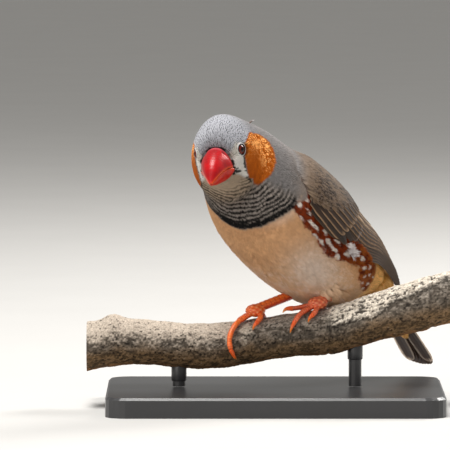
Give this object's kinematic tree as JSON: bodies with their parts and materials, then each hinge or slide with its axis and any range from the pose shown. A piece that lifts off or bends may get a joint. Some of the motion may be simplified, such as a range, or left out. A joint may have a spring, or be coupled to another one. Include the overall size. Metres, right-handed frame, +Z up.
{
  "type": "zebra finch model",
  "caption": "Still life-size songbird model gripping a short cut of branch, held on a plain flat display stand by upright rods.",
  "frame": {"origin": "middle of the stand's underside", "axes": "+Z up, +X to the right of the front view, +Y away from it; the perch runs along X"},
  "size_m": [0.092, 0.0686, 0.0739],
  "materials": {
    "stand": "dark satin lacquer",
    "bark": "rough bark",
    "pale_plumage": "soft plumage",
    "grey_plumage": "soft plumage",
    "wing": "smooth feather vanes",
    "tail": "smooth feather vanes",
    "bill": "satin horn",
    "eye": "wet gloss",
    "leg": "scaly skin",
    "claw": "satin horn"
  },
  "bodies": {
    "root": {"stand_base": "stand", "stand_rod_left": "stand", "stand_rod_right": "stand", "perch": "bark", "torso": "pale_plumage", "neck": "grey_plumage", "head": "grey_plumage", "bill_upper": "bill", "bill_lower": "bill", "eye_left": "eye", "eye_right": "eye", "wing_left": "wing", "wing_right": "wing", "tail": "tail", "tarsus_left": "leg", "tarsus_right": "leg", "toe_right_middle": "leg", "toe_right_inner": "leg", "toe_right_outer": "leg", "toe_right_hind": "leg", "toe_left_middle": "leg", "toe_left_inner": "leg", "toe_left_outer": "leg", "toe_left_hind": "leg", "claw_right_middle": "claw", "claw_right_inner": "claw", "claw_right_outer": "claw", "claw_right_hind": "claw", "claw_left_middle": "claw", "claw_left_inner": "claw", "claw_left_outer": "claw", "claw_left_hind": "claw"}
  },
  "joints": []
}
